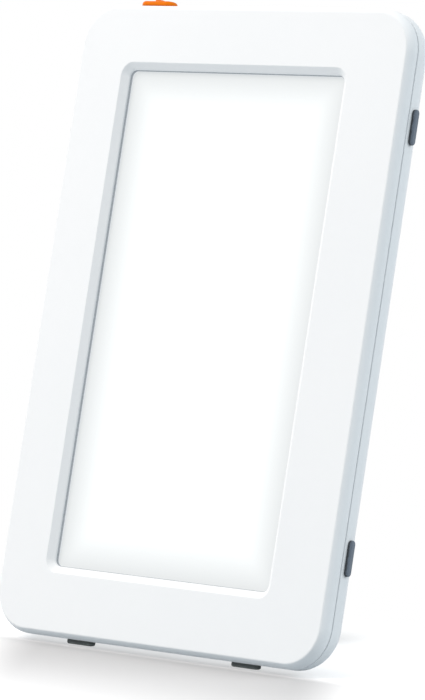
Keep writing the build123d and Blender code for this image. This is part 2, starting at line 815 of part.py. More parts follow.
led_lead_left = lead(
    [
        (window_x - led_lead_start, strip_end_y),
        (window_x - led_lead_start, ear_bottom - 2 * lead_pass),
        (channel_x - 2 * lead_pass, ear_bottom - 1.75 * lead_pass),
        (connector_x - 2.5 * lead_pass, ear_bottom + 0.75 * lead_pass),
        (connector_x + led_lead_offset, ear_bottom + 5 * lead_pass),
        (connector_x + led_lead_offset, led_plug_y),
    ],
    [lead_bend, lead_bend, lead_bend, lead_bend],
)
keep(led_lead_left, "led_lead_left")

led_lead_right = lead(
    [
        (window_x + led_lead_start, strip_end_y),
        (window_x + led_lead_start, ear_bottom + 0.75 * lead_pass),
        (channel_x, ear_bottom + 1.25 * lead_pass),
        (connector_x - led_lead_offset, ear_bottom + 6 * lead_pass),
        (connector_x - led_lead_offset, led_plug_y),
    ],
    [0.6 * lead_bend, 0.7 * lead_bend, lead_bend],
)
keep(led_lead_right, "led_lead_right")

# ---------------------------------------------------------------- stand hub and what holds it in the casing
hub_front_depth = hub_floor_depth + hub_clearance
ring_depth = hub_floor_depth - wall - washer_thickness - ring_gap
hub_screw_spots = [
    (hub_screw_circle * cos(radians(angle)), hub_y + hub_screw_circle * sin(radians(angle)))
    for angle in (90, 210, 330)
]
knuckle_inner = leg_width / 2 + leg_side_gap
knuckle_middle = knuckle_inner + knuckle_width / 2

with BuildPart() as stand_hub:
    with BuildSketch(at_depth(hub_front_depth)):
        with Locations((0, hub_y)):
            Circle(hub_radius)
    extrude(amount=-(hub_rear_depth - hub_front_depth))
    fillet(stand_hub.edges().group_by(OUT)[0], radius=hub_edge)
    # knuckles that hold the hinge pin
    for side in (-1, 1):
        with BuildSketch(at_side(side * knuckle_middle - knuckle_width / 2)):
            with Locations((pin_depth, pin_y)):
                Circle(knuckle_radius)
            with Locations((pin_depth - knuckle_radius / 2, pin_y)):
                Rectangle(knuckle_radius, 2 * knuckle_radius)
        extrude(amount=knuckle_width)
    # the slot that the leg folds into
    slot_height = hinge_rise + leg_slot_rise + 1.1 * hub_radius
    with BuildSketch(at_depth(leg_slot_depth)):
        with Locations((0, pin_y + leg_slot_rise - slot_height / 2)):
            Rectangle(2 * knuckle_inner, slot_height)
    extrude(amount=-(casing_depth + 2 * knuckle_radius - leg_slot_depth + leg_outer), mode=Mode.SUBTRACT)
    # the boss that turns in the casing
    with BuildSketch(at_depth(hub_front_depth)):
        with Locations((0, hub_y)):
            Circle(boss_hub_radius)
    extrude(amount=hub_front_depth - ring_depth)
    with BuildSketch(at_depth(ring_depth)):
        with Locations(*hub_screw_spots):
            Circle(small_shank_radius + hole_ease)
    extrude(amount=-(hub_screw_length + screw_tip_gap), mode=Mode.SUBTRACT)
    # the pin's holes
    with BuildSketch(at_side(-knuckle_middle - knuckle_width)):
        with Locations((pin_depth, pin_y)):
            Circle(pin_radius + hole_ease)
    extrude(amount=2 * (knuckle_middle + knuckle_width), mode=Mode.SUBTRACT)
keep(stand_hub, "stand_hub")

with BuildPart() as friction_washer:
    with BuildSketch(at_depth(hub_floor_depth - wall)):
        with Locations((0, hub_y)):
            Circle(washer_radius)
            Circle(boss_hub_radius + hub_gap, mode=Mode.SUBTRACT)
    extrude(amount=washer_thickness)
keep(friction_washer, "friction_washer")

ring_front = ring_depth - ring_thickness
with BuildPart() as retaining_ring:
    with BuildSketch(at_depth(ring_depth)):
        with Locations((0, hub_y)):
            Circle(ring_radius)
        with Locations(Location((0, hub_y), stop_rest_angle)):
            with Locations((ring_radius, 0)):
                Rectangle(2 * stop_tab_length, stop_tab_width)
        with Locations((0, hub_y)):
            Circle(ring_hole_radius, mode=Mode.SUBTRACT)
    extrude(amount=ring_thickness)
    with Locations(at_depth(ring_front)):
        with Locations(*hub_screw_spots):
            CounterSinkHole(
                small_shank_radius + pass_gap, small_head_radius + sink_gap, counter_sink_angle=90
            )
keep(retaining_ring, "retaining_ring")

with BuildPart() as hub_screws:
    with BuildSketch(at_depth(ring_front)):
        with Locations(*hub_screw_spots):
            Circle(small_head_radius)
    extrude(amount=-(small_head_radius - small_shank_radius), taper=45)
    with BuildSketch(at_depth(ring_front)):
        with Locations(*hub_screw_spots):
            Circle(small_shank_radius)
    extrude(amount=-(ring_thickness + hub_screw_length))
keep(hub_screws, "hub_screws")

with BuildPart() as hinge_pin:
    pin_half = knuckle_inner + knuckle_width - pin_set_in
    with BuildSketch(at_side(-pin_half)):
        with Locations((pin_depth, pin_y)):
            Circle(pin_radius)
    extrude(amount=2 * pin_half)
keep(hinge_pin, "hinge_pin")

with BuildPart() as hinge_washers:
    for side in (-1, 1):
        washer_x = side * (leg_width + leg_side_gap) / 2 - hinge_washer_thickness / 2
        with BuildSketch(at_side(washer_x)):
            with Locations((pin_depth, pin_y)):
                Circle(hinge_washer_radius)
                Circle(pin_radius + hole_ease, mode=Mode.SUBTRACT)
        extrude(amount=hinge_washer_thickness)
keep(hinge_washers, "hinge_washers")

# ---------------------------------------------------------------- folding leg, drawn open
pad_start = leg_length - pad_length
with BuildPart() as stand_leg:
    with BuildSketch(leg_plane.offset(leg_inner)):
        with Locations((0, -pad_start / 2)):
            Rectangle(leg_width, pad_start)
    extrude(amount=-(leg_inner + leg_outer))
    with BuildSketch(at_side(-leg_width / 2)):
        with Locations((pin_depth, pin_y)):
            Circle(leg_barrel)
    extrude(amount=leg_width)
    # hollow inner side with cross ribs
    pocket_top = leg_barrel + leg_wall
    pocket_length = pad_start - leg_wall - pocket_top
    with BuildSketch(leg_plane.offset(leg_inner)):
        with Locations((0, -pocket_top - pocket_length / 2)):
            Rectangle(leg_width - 2 * leg_wall, pocket_length)
            with GridLocations(1, pocket_length / (leg_rib_count + 1), 1, leg_rib_count):
                Rectangle(leg_width, leg_rib, mode=Mode.SUBTRACT)
    extrude(amount=-(leg_inner + leg_outer - leg_skin), mode=Mode.SUBTRACT)
    # heel that meets the hub when the leg is open
    heel_reach = pin_depth - leg_slot_depth - heel_gap
    with BuildSketch(at_side(-heel_width / 2)):
        with Locations((pin_depth, pin_y)):
            Polygon((-heel_reach, 0), (0, 0), (0, heel_height), (-heel_reach, heel_height), align=None)
    extrude(amount=heel_width)
    with BuildSketch(leg_plane.offset((leg_inner - leg_outer) / 2 + pad_tongue_thickness / 2)):
        with Locations((0, -pad_start - pad_tongue_length / 2)):
            Rectangle(pad_tongue_width, pad_tongue_length)
    extrude(amount=-pad_tongue_thickness)
    with BuildSketch(at_side(-leg_width / 2)):
        with Locations((pin_depth, pin_y)):
            Circle(pin_radius + running_gap)
    extrude(amount=leg_width, mode=Mode.SUBTRACT)
keep(stand_leg, "stand_leg")

with BuildPart() as leg_pad:
    with BuildSketch(leg_plane.offset(leg_inner)):
        with Locations((0, -pad_start - pad_length)):
            RectangleRounded(leg_width, 2 * pad_length, pad_corner)
    extrude(amount=-(leg_inner + leg_outer))
    with BuildSketch(leg_plane.offset(leg_inner)):
        with Locations((0, -pad_start + pad_corner / 2)):
            Rectangle(leg_width, pad_corner)
    extrude(amount=-(leg_inner + leg_outer), mode=Mode.SUBTRACT)
    tongue_face = (leg_inner - leg_outer) / 2 + pad_tongue_thickness / 2 + pad_tongue_gap
    with BuildSketch(leg_plane.offset(tongue_face)):
        with Locations((0, -pad_start - pad_tongue_length / 2)):
            Rectangle(pad_tongue_width + 2 * pad_tongue_gap, pad_tongue_length + 2 * pad_tongue_gap)
    extrude(amount=-(pad_tongue_thickness + 2 * pad_tongue_gap), mode=Mode.SUBTRACT)
    split(bisect_by=table, keep=Keep.TOP)
keep(leg_pad, "leg_pad")

# ---------------------------------------------------------------- screws
case_screws = pan_screws(
    case_screw_spots, at_depth, case_seat_depth, -1, case_head_radius, case_head_height,
    case_shank_radius, case_seat_depth - wall - screw_tip_gap,
)
keep(case_screws, "case_screws")

plate_screws = pan_screws(
    ear_spots, at_depth, plate_end, -1, small_head_radius, small_head_height, small_shank_radius,
    plate_screw_length,
)
keep(plate_screws, "plate_screws")

driver_screws = pan_screws(
    driver_posts, at_depth, board_top, -1, small_head_radius, small_head_height, small_shank_radius,
    board_screw_length,
)
keep(driver_screws, "driver_screws")

switch_screws = pan_screws(
    switch_blocks, at_height, switch_base, 1, small_head_radius, small_head_height, small_shank_radius,
    board_screw_length,
)
keep(switch_screws, "switch_screws")
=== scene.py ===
import json
from math import cos, pi, radians, sin

import bmesh
import bpy
from mathutils import Euler, Matrix, Vector


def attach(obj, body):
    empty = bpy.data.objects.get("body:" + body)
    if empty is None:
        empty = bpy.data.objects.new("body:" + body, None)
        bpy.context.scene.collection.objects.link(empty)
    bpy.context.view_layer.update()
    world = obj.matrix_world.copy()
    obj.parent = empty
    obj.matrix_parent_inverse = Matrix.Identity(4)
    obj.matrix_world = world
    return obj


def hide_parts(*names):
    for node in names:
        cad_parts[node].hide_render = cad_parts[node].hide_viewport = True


# A tablet-shaped light therapy lamp in moulded plastic and rubber, with a lit diffuser. Metres, +Z up, and
# the lit face towards -Y. The solids come from the frame: this script gives them clean meshes, finishes and
# light.
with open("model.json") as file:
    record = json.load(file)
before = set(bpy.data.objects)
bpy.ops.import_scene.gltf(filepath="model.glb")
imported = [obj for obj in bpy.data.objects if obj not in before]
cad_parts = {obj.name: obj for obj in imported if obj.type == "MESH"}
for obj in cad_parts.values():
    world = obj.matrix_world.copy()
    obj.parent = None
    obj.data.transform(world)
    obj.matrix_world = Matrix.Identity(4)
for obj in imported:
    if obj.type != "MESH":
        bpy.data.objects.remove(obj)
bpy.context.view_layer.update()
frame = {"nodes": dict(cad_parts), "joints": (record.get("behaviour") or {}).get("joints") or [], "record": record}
joints = {joint["name"]: joint for joint in frame["joints"]}
slot_of = {part["node"]: part["material_slot"] for part in frame["record"]["subparts"]}
body_of = {node: body for body, nodes in frame["record"]["behaviour"]["bodies"].items() for node in nodes}

# ---------------------------------------------------------------- the lamp's own directions and measures
OUT = Vector(joints["stand_swivel"]["axis"])            # out of the lit face
UP = -Vector(joints["button_press"]["axis"])            # up along the lamp
ACROSS = Vector((1, 0, 0))
LEAN = OUT.angle(Vector((0, -1, 0)))                    # how far the lamp leans back


def extent(node, direction, start=Vector((0, 0, 0))):
    """How far a solid reaches along a direction from a starting place, at its least and at its most."""
    along = [direction.dot(vertex.co - start) for vertex in frame["nodes"][node].data.vertices]
    return min(along), max(along)


casing_left, casing_right = extent("front_casing", ACROSS)
casing_bottom, casing_top = extent("front_casing", UP)
CASING_HALF_WIDTH = (casing_right - casing_left) / 2
CASING_HALF_HEIGHT = (casing_top - casing_bottom) / 2
FACE_MIDDLE = (
    ACROSS * (casing_left + casing_right) / 2
    + UP * (casing_bottom + casing_top) / 2
    + OUT * extent("front_casing", OUT)[1]
)
# Places on the lamp are told from the middle of its face: x across it, y up along it, and depth behind it.
panel_left, panel_right = extent("diffuser_panel", ACROSS, FACE_MIDDLE)
panel_bottom, panel_top = extent("diffuser_panel", UP, FACE_MIDDLE)
PANEL_DEPTH = -extent("diffuser_panel", OUT, FACE_MIDDLE)[1]
PANEL_LAP = 0.0022                                      # the lit panel reaches this far past the opening
WINDOW_X = (panel_left + panel_right) / 2
WINDOW_Y = (panel_bottom + panel_top) / 2
OPENING_WIDTH = panel_right - panel_left - 2 * PANEL_LAP
OPENING_HEIGHT = panel_top - panel_bottom - 2 * PANEL_LAP


def new_object(name, data):
    """A new object in the scene, made from its mesh, its light or its camera."""
    made = bpy.data.objects.new(name, data)
    bpy.context.scene.collection.objects.link(made)
    return made


# ---------------------------------------------------------------- camera
CAMERA_PLACE = Vector((1.0492, -1.2199, 0.2629))
CAMERA_AZIMUTH = radians(40.805)                        # turned this far to the left of straight ahead
CAMERA_ELEVATION = radians(5.503)                       # and tilted down by this
CAMERA_ROLL = radians(-0.10)
CAMERA_LENS = 230.09                                    # in millimetres, as is the sensor
CAMERA_SENSOR = 36.0


def make_camera():
    """A long lens that looks down a little on the lit face and the right side."""
    data = bpy.data.cameras.new("camera")
    data.sensor_width = CAMERA_SENSOR
    data.lens = CAMERA_LENS
    data.clip_start = 0.01
    camera = new_object("camera", data)
    camera.location = CAMERA_PLACE
    aim = Euler((pi / 2 - CAMERA_ELEVATION, 0, CAMERA_AZIMUTH)).to_matrix()
    camera.rotation_euler = (aim @ Matrix.Rotation(CAMERA_ROLL, 3, "Z")).to_euler()
    bpy.context.scene.camera = camera


make_camera()


# ---------------------------------------------------------------- building blocks for materials
class Nodes:
    """An emptied node tree, with short ways to add nodes and to join them."""

    def __init__(self, tree):
        self.tree = tree
        self.tree.nodes.clear()

    def feed(self, node, values):
        """Gives a node's inputs a plain value, a colour or another node's output."""
        for name, value in values.items():
            socket = node.inputs[name]
            if isinstance(value, bpy.types.NodeSocket):
                self.tree.links.new(value, socket)
            elif socket.type == "RGBA":
                socket.default_value = (*value, 1.0)
            else:
                socket.default_value = value

    def add(self, kind, values=None, **settings):
        """A new node with its settings, and with values on its inputs."""
        node = self.tree.nodes.new(kind)
        for name, setting in settings.items():
            setattr(node, name, setting)
        self.feed(node, values or {})
        return node

    def math(self, operation, first, second=0.0, third=0.0):
        """The result of one operation on numbers."""
        values = {0: first, 1: second, 2: third}
        return self.add("ShaderNodeMath", values, operation=operation).outputs["Value"]

    def mix_shaders(self, factor, first, second):
        """A surface that goes from the first to the second as the factor goes from 0 to 1."""
        return self.add("ShaderNodeMixShader", {0: factor, 1: first, 2: second}).outputs["Shader"]


class Finish(Nodes):
    """A new material with one Principled shader, and short ways to make its patterns."""

    def __init__(self, name, roughness, metallic=0.0):
        self.material = bpy.data.materials.new(name)
        self.material.use_nodes = True
        super().__init__(self.material.node_tree)
        self.shader = self.add("ShaderNodeBsdfPrincipled", {"Roughness": roughness, "Metallic": metallic})
        self.output = self.add("ShaderNodeOutputMaterial", {"Surface": self.shader.outputs["BSDF"]})
        self.place = self.add("ShaderNodeTexCoord").outputs["Object"]

    def shade(self, values):
        """Gives the shader's own inputs their values or patterns."""
        self.feed(self.shader, values)

    def noise(self, size, detail=4.0, rough=0.55, place=None):
        """Noise between 0 and 1 whose patches are about size metres across."""
        values = {"Vector": place or self.place, "Scale": 0.5 / size, "Detail": detail, "Roughness": rough}
        return self.add("ShaderNodeTexNoise", values).outputs["Fac"]

    def span(self, value, between, to=(0.0, 1.0), kind="SMOOTHSTEP"):
        """The value, read between two numbers, as a number between two others."""
        low, high = between
        first, last = to
        values = {"Value": value, "From Min": low, "From Max": high, "To Min": first, "To Max": last}
        return self.add("ShaderNodeMapRange", values, interpolation_type=kind).outputs["Result"]

    def blend(self, factor, first, second):
        """A colour that goes from the first to the second as the factor goes from 0 to 1."""
        node = self.add("ShaderNodeMix", {"Factor": factor}, data_type="RGBA")
        places = [place for place, socket in enumerate(node.inputs) if socket.type == "RGBA"]
        self.feed(node, dict(zip(places, (first, second))))
        return next(socket for socket in node.outputs if socket.type == "RGBA")

    def mottle(self, pattern, between, first, second):
        """Colours the surface from the first to the second as the pattern grows between two numbers."""
        self.shade({"Base Color": self.blend(self.span(pattern, between), first, second)})

    def bump(self, height, depth, strength):
        """Bump of about depth metres from a height between 0 and 1."""
        bumped = self.add("ShaderNodeBump", {"Height": height, "Distance": depth, "Strength": strength})
        self.shade({"Normal": bumped.outputs["Normal"]})

    def lamp_place(self):
        """Places on the lamp: x across it, y into its depth, z up it, from the middle of its face."""
        values = {"Vector": self.place, "Location": FACE_MIDDLE, "Rotation": (-LEAN, 0, 0)}
        return self.add("ShaderNodeMapping", values, vector_type="TEXTURE").outputs["Vector"]

    def lamp_parts(self):
        """The same places as three numbers: across, into the depth, up."""
        parts = self.add("ShaderNodeSeparateXYZ", {"Vector": self.lamp_place()})
        return parts.outputs["X"], parts.outputs["Y"], parts.outputs["Z"]

    def stand_out(self):
        """How far a place stands out of the casing's edges."""
        across, _, up = self.lamp_parts()
        past_side = self.math("SUBTRACT", self.math("ABSOLUTE", across), CASING_HALF_WIDTH)
        past_end = self.math("SUBTRACT", self.math("ABSOLUTE", up), CASING_HALF_HEIGHT)
        return self.math("MAXIMUM", past_side, past_end)


def scaled(colour, share, more=0.0):
    """A colour whose three parts are taken times a share, with a little added."""
    return tuple(share * part + more for part in colour)


# ---------------------------------------------------------------- finishes
WHITE = (1.0, 1.0, 1.0)
CASING_WHITE = (0.92, 0.938, 0.95)
CASING_SHADE = (0.91, 0.93, 0.943)
STAND_WHITE = (0.87, 0.885, 0.895)
STAND_SHADE = (0.85, 0.87, 0.885)
# painted light: the feet on the table get a paler copy of the foot rubber, lit paler than the side feet
TABLE_FOOT_PAINTED_PALE = (0.195, 0.212, 0.207)
TABLE_FOOT_SHADE = (0.105, 0.117, 0.117)
BLACK = (0.022, 0.022, 0.024)
BLACK_SHADE = (0.014, 0.014, 0.015)
FOAM_LIT = 0.0007                                       # painted light from the panel reaches this far in front of it on the foam
# the painted glow of the panel's light on the foam comes to this strength
FOAM_GLOW = 0.50
GLOW_FADE = 0.014                                       # the panel is fully lit this far inside its edges
GLOW_CORNER = 0.006                                     # the fade's corners are rounded over this length
GLOW_AT_EDGE = 0.59
GLOW_LEVEL = 0.835
BUTTON_SHADE = 0.0016                                   # painted shade darkens the button up to this far out of its gap
FOOT_SHADE = (0.0006, 0.0013)                           # painted shade: a foot turns from shaded dark to lit pale between these, out of its pocket


def moulded_plastic(name, light, dark, roughness=0.42, shine=0.5):
    """Moulded plastic with a fine spark-eroded grain, a faint cloudiness and slightly uneven gloss."""
    finish = Finish(name, roughness)
    finish.mottle(finish.noise(size=0.03, detail=3.0), (0.35, 0.65), light, dark)
    gloss = finish.span(finish.noise(size=0.006), (0.3, 0.7), (roughness - 0.05, roughness + 0.05))
    finish.shade({"Roughness": gloss, "Specular IOR Level": shine})
    finish.bump(finish.noise(size=0.00035, detail=2.0, rough=0.6), depth=0.000012, strength=0.6)
    return finish.material


def button_plastic(name, light, dark):
    """Coloured plastic, with painted shade that darkens it down in the gap round the button."""
    finish = Finish(name, 0.4)
    finish.shade({"Specular IOR Level": 0.15})
    # painted shade: the button's colour goes dark down in its gap, where the casing shades it
    above_gap = finish.span(finish.stand_out(), (0.0, BUTTON_SHADE))
    cloud = finish.span(finish.noise(size=0.004, detail=3.0), (0.3, 0.7), (-0.08, 0.0))
    finish.shade({"Base Color": finish.blend(finish.math("ADD", above_gap, cloud), dark, light)})
    finish.bump(finish.noise(size=0.00025, detail=2.0), depth=0.00001, strength=0.6)
    return finish.material


def rubber_surface(finish, sheen):
    """The soft sheen and the fine pits of moulded rubber."""
    finish.shade({"Sheen Weight": sheen, "Sheen Roughness": 0.5})
    finish.bump(finish.noise(size=0.0003, detail=3.0, rough=0.7), depth=0.00003, strength=0.7)


def foot_rubber(name, light, dark):
    """Matte rubber with painted light and shade: pale where it stands out of the casing, shaded dark down in its
    pocket.
    """
    finish = Finish(name, 0.6)
    # noise makes the boundary between the painted pale top and the painted shade at the root ragged
    shade_edge_noise = finish.span(finish.noise(size=0.0012, detail=6.0, rough=0.65), (0.3, 0.7), (-0.0002, 0.0002))
    finish.mottle(finish.math("ADD", finish.stand_out(), shade_edge_noise), FOOT_SHADE, dark, light)
    rubber_surface(finish, sheen=0.10)
    return finish.material


def pad_rubber(name, light, dark):
    """Matte rubber with a little dust."""
    finish = Finish(name, 0.62)
    finish.mottle(finish.noise(size=0.0016, detail=6.0, rough=0.65), (0.35, 0.75), dark, light)
    rubber_surface(finish, sheen=0.15)
    return finish.material


def seal_foam(name, light, dark):
    """Closed-cell foam round the window, with a painted glow where it meets the panel, standing in for the panel's
    light on it.
    """
    finish = Finish(name, 0.85)
    cells = finish.noise(size=0.0004)
    finish.mottle(cells, (0.35, 0.65), dark, light)
    _, depth, _ = finish.lamp_parts()
    # painted light: the foam glows near the panel though it is no lamp
    glow = finish.span(depth, (PANEL_DEPTH - FOAM_LIT, PANEL_DEPTH), (0.0, FOAM_GLOW))
    finish.shade({"Emission Strength": glow, "Emission Color": WHITE})
    finish.bump(cells, depth=0.00004, strength=0.7)
    return finish.material


def lit_diffuser(name):
    """A frosted white sheet, lit from behind. The light fades towards the window's edges."""
    finish = Finish(name, 0.55)
    across, _, up = finish.lamp_parts()
    off_x = finish.math("ABSOLUTE", finish.math("SUBTRACT", across, WINDOW_X))
    off_y = finish.math("ABSOLUTE", finish.math("SUBTRACT", up, WINDOW_Y))
    from_side = finish.math("SUBTRACT", OPENING_WIDTH / 2, off_x)
    from_end = finish.math("SUBTRACT", OPENING_HEIGHT / 2, off_y)
    inside = finish.math("SMOOTH_MIN", from_side, from_end, GLOW_CORNER)
    glow = finish.span(inside, (0.0, GLOW_FADE), (GLOW_AT_EDGE, GLOW_LEVEL), kind="LINEAR")
    finish.shade({"Emission Strength": glow, "Emission Color": (0.97, 1.0, 1.0)})
    frost = finish.noise(size=0.0004, detail=2.0)
    finish.shade({"Base Color": finish.blend(frost, (0.20, 0.205, 0.21), (0.215, 0.22, 0.225))})
    finish.bump(frost, depth=0.00001, strength=0.5)
    return finish.material


def milky_sheet(name, colour, roughness):
    """A thin optical film with a faint ripple."""
    finish = Finish(name, roughness)
    ripple = finish.noise(size=0.004, detail=2.0)
    finish.shade({"Base Color": finish.blend(ripple, colour, scaled(colour, 0.96))})
    finish.bump(finish.noise(size=0.0002), depth=0.000005, strength=0.5)
    return finish.material


def clear_acrylic(name):
    """Acrylic sheet with a printed dot pattern that sends the light forwards."""
    finish = Finish(name, 0.08)
    finish.shade({"Transmission Weight": 0.85, "IOR": 1.49})
    layout = {"Vector": finish.lamp_place(), "Scale": 700.0, "Randomness": 0.15}
    dots = finish.add("ShaderNodeTexVoronoi", layout, feature="F1")
    printed = finish.span(dots.outputs["Distance"], (0.22, 0.30), (1.0, 0.0))
    finish.shade({"Base Color": finish.blend(printed, (0.93, 0.97, 0.98), (0.98, 0.98, 0.98))})
    finish.shade({"Roughness": finish.span(printed, (0.0, 1.0), (0.06, 0.5))})
    return finish.material


def metal(name, colour, roughness, stretch=(1.0, 1.0, 1.0), grain=0.0006):
    """Bare metal with fine lines along one direction and uneven polish."""
    finish = Finish(name, roughness, metallic=1.0)
    drawn = finish.add("ShaderNodeMapping", {"Vector": finish.place, "Scale": stretch}).outputs["Vector"]
    lines = finish.noise(size=grain, detail=5.0, rough=0.6, place=drawn)
    finish.mottle(lines, (0.3, 0.7), colour, scaled(colour, 0.82))
    finish.shade({"Roughness": finish.span(lines, (0.3, 0.7), (roughness - 0.08, roughness + 0.1))})
    finish.bump(lines, depth=0.00001, strength=0.4)
    return finish.material


def circuit_board(name, mask, track):
    """Solder mask over copper tracks, raised and lighter where the tracks run."""
    finish = Finish(name, 0.35)
    layout = {"Vector": finish.lamp_place(), "Scale": 420.0, "Randomness": 0.75}
    tracks = finish.add("ShaderNodeTexVoronoi", layout, feature="DISTANCE_TO_EDGE", distance="EUCLIDEAN")
    on_track = finish.span(tracks.outputs["Distance"], (0.04, 0.09), (1.0, 0.0))
    finish.shade({"Base Color": finish.blend(on_track, mask, track)})
    finish.bump(on_track, depth=0.00004, strength=0.6)
    return finish.material


def led_phosphor(name):
    """White LED bodies whose phosphor glows warm white."""
    finish = Finish(name, 0.4)
    grains = finish.noise(size=0.0002, detail=3.0)
    finish.shade({"Base Color": finish.blend(grains, (0.95, 0.82, 0.30), (0.98, 0.92, 0.55))})
    glow = finish.span(grains, (0.2, 0.8), (0.9, 1.2))
    finish.shade({"Emission Strength": glow, "Emission Color": (1.0, 0.95, 0.85)})
    return finish.material


def lead_insulation(name, colour):
    """Soft wire insulation, slightly dusty."""
    finish = Finish(name, 0.45)
    finish.mottle(finish.noise(size=0.002, detail=5.0), (0.4, 0.8), colour, scaled(colour, 0.8, more=0.06))
    finish.bump(finish.noise(size=0.0004), depth=0.00002, strength=0.5)
    return finish.material


finishes = {
    "casing_white": moulded_plastic("casing_white", CASING_WHITE, CASING_SHADE, shine=0.28),
    "stand_white": moulded_plastic("stand_white", STAND_WHITE, STAND_SHADE, roughness=0.46),
    # the foot rubber's first colour is painted light where a foot stands out, its second painted shade in the
    # pocket
    "foot_rubber": foot_rubber("foot_rubber", (0.14, 0.172, 0.215), (0.04, 0.048, 0.057)),
    "table_foot_rubber": foot_rubber("table_foot_rubber", TABLE_FOOT_PAINTED_PALE, TABLE_FOOT_SHADE),
    "pad_rubber": pad_rubber("pad_rubber", (0.10, 0.12, 0.14), (0.07, 0.085, 0.10)),
    "gasket_foam": seal_foam("gasket_foam", (0.47, 0.50, 0.53), (0.40, 0.43, 0.46)),
    "diffuser": lit_diffuser("diffuser"),
    "film": milky_sheet("film", (0.92, 0.92, 0.92), 0.4),
    "light_guide": clear_acrylic("light_guide"),
    "frame_white": moulded_plastic("frame_white", (0.84, 0.84, 0.83), (0.81, 0.81, 0.80), roughness=0.5),
    "rail_aluminium": metal("rail_aluminium", (0.78, 0.79, 0.80), 0.32, stretch=(40.0, 40.0, 1.0)),
    "plate_aluminium": metal("plate_aluminium", (0.76, 0.77, 0.78), 0.35, stretch=(1.0, 30.0, 30.0)),
    "strip_board": circuit_board("strip_board", (0.86, 0.86, 0.82), (0.92, 0.91, 0.86)),
    "led": led_phosphor("led"),
    "green_board": circuit_board("green_board", (0.012, 0.09, 0.035), (0.03, 0.16, 0.06)),
    "black_plastic": moulded_plastic("black_plastic", BLACK, BLACK_SHADE, roughness=0.4),
    "ferrite": moulded_plastic("ferrite", (0.05, 0.05, 0.055), (0.03, 0.03, 0.032), roughness=0.6),
    "capacitor_can": metal("capacitor_can", (0.74, 0.75, 0.77), 0.28, grain=0.001),
    "connector_white": moulded_plastic("connector_white", (0.80, 0.78, 0.70), (0.76, 0.74, 0.66)),
    "stem_white": moulded_plastic("stem_white", (0.80, 0.80, 0.77), (0.77, 0.77, 0.74)),
    "lead_black": lead_insulation("lead_black", (0.02, 0.02, 0.022)),
    "lead_red": lead_insulation("lead_red", (0.45, 0.02, 0.015)),
    "washer_plastic": moulded_plastic("washer_plastic", (0.74, 0.74, 0.70), (0.70, 0.70, 0.66)),
    "screw_steel": metal("screw_steel", (0.62, 0.62, 0.63), 0.30, grain=0.0003),
    "ring_steel": metal("ring_steel", (0.60, 0.60, 0.61), 0.34, grain=0.0005),
    "pin_steel": metal("pin_steel", (0.66, 0.66, 0.67), 0.18, stretch=(1.0, 25.0, 25.0)),
    # the button's second colour is painted shade for its gap
    "button_orange": button_plastic("button_orange", (0.84, 0.19, 0.001), (0.20, 0.042, 0.001)),
}


# ---------------------------------------------------------------- pieces
SHARP_EDGE = radians(32)                                # faces that meet at more than this stay sharp


def merged_mesh(node, name):
    """A copy of a CAD node's mesh with its loose triangles joined and its flat faces made whole."""
    form = bmesh.new()
    form.from_mesh(frame["nodes"][node].data)
    bmesh.ops.remove_doubles(form, verts=form.verts, dist=1e-6)
    bmesh.ops.dissolve_limit(form, angle_limit=radians(0.05), verts=form.verts, edges=form.edges)
    mesh = bpy.data.meshes.new(name)
    form.to_mesh(mesh)
    form.free()
    return mesh


def smooth_shading(mesh):
    """Rounds the shading over gentle edges. The larger a flat is, the more it keeps its own direction."""
    flat_of = []                                        # each face's plane: its direction and place
    area_of = {}
    faces_at = {vertex.index: [] for vertex in mesh.vertices}
    for face in mesh.polygons:
        offset_in_mm = 1000 * face.normal.dot(face.center)
        flat = tuple(round(number, 3) for number in (*face.normal, offset_in_mm))
        flat_of.append(flat)
        area_of[flat] = area_of.get(flat, 0.0) + face.area
        for vertex in face.vertices:
            faces_at[vertex].append(face.index)
    normals = []
    for face in mesh.polygons:
        for vertex in face.vertices:
            near = {flat_of[i]: mesh.polygons[i].normal.copy() for i in faces_at[vertex]}
            total = Vector()
            for flat, direction in near.items():
                if direction.dot(face.normal) >= cos(SHARP_EDGE):
                    total += direction * area_of[flat] ** 2
            normals.append(total.normalized())
    mesh.shade_smooth()
    mesh.set_sharp_from_angle(angle=SHARP_EDGE)
    mesh.normals_split_custom_set(normals)


def moulded(node, name, finish_name):
    """The finished form of a moulded or turned node, in its place and on its body."""
    mesh = merged_mesh(node, name)
    mesh.materials.append(finishes[finish_name])
    smooth_shading(mesh)
    piece = new_object(name, mesh)
    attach(piece, body_of[node])
    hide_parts(node)


def finish_cad_nodes(kept):
    """Gives the CAD nodes that stay their finishes."""
    for node in kept:
        mesh = frame["nodes"][node].data
        mesh.materials.clear()
        mesh.materials.append(finishes[slot_of[node]])


outer_pieces = {
    "front_casing": "front_shell",
    "rear_casing": "rear_shell",
    "bottom_foot_left": "foot_bottom_left",
    "bottom_foot_right": "foot_bottom_right",
    "side_foot_lower": "foot_side_lower",
    "side_foot_upper": "foot_side_upper",
    "window_gasket": "window_seal",
    "diffuser_panel": "diffuser_sheet",
    "power_button": "button_cap",
    "stand_hub": "hub_disc",
    "stand_leg": "folding_leg",
    "hinge_pin": "hinge_axle",
    "hinge_washers": "hinge_spacers",
    "case_screws": "casing_screws",
    "dc_jack": "power_socket",
    "leg_pad": "leg_foot",
}
own_finish = {                                          # where it isn't named after the piece's slot
    # the feet on the table take the painted paler copy of the foot rubber
    "bottom_foot_left": "table_foot_rubber",
    "bottom_foot_right": "table_foot_rubber",
    "leg_pad": "pad_rubber",
}
for node, name in outer_pieces.items():
    moulded(node, name, own_finish.get(node, slot_of[node]))
finish_cad_nodes(node for node in frame["nodes"] if node not in outer_pieces)


